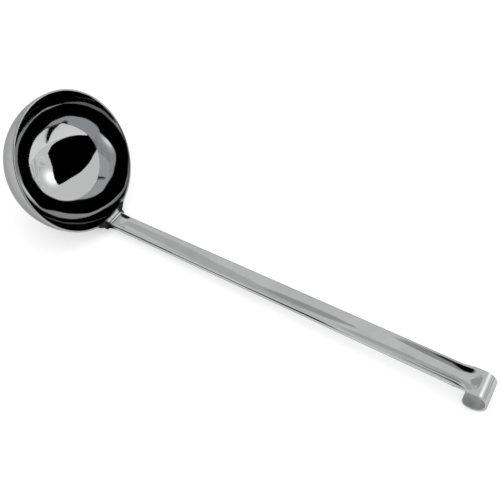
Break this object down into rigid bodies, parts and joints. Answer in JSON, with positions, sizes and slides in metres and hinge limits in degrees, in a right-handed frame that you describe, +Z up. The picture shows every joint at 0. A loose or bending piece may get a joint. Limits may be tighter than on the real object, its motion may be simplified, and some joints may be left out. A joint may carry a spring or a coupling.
{
  "type": "kitchen ladle",
  "caption": "Deep round ladle bowl welded at its neck to a long fluted strip handle with turned-down edges and a hanging hook.",
  "frame": {"origin": "on the table below the middle of the ladle, which lies on its back on the bowl's side and the hook's tongue", "axes": "+Z up from the table, +X along the handle from the bowl to the hook, the ladle's mirror plane is XZ"},
  "size_m": [0.3648, 0.1, 0.0903],
  "materials": {
    "polished_bowl": "mirror polished stainless steel",
    "weld_seam": "ground and polished weld bead",
    "polished_handle": "polished stainless steel, satin on its underside"
  },
  "bodies": {
    "root": {"bowl": "polished_bowl", "neck_weld": "weld_seam", "handle": "polished_handle"}
  },
  "joints": []
}
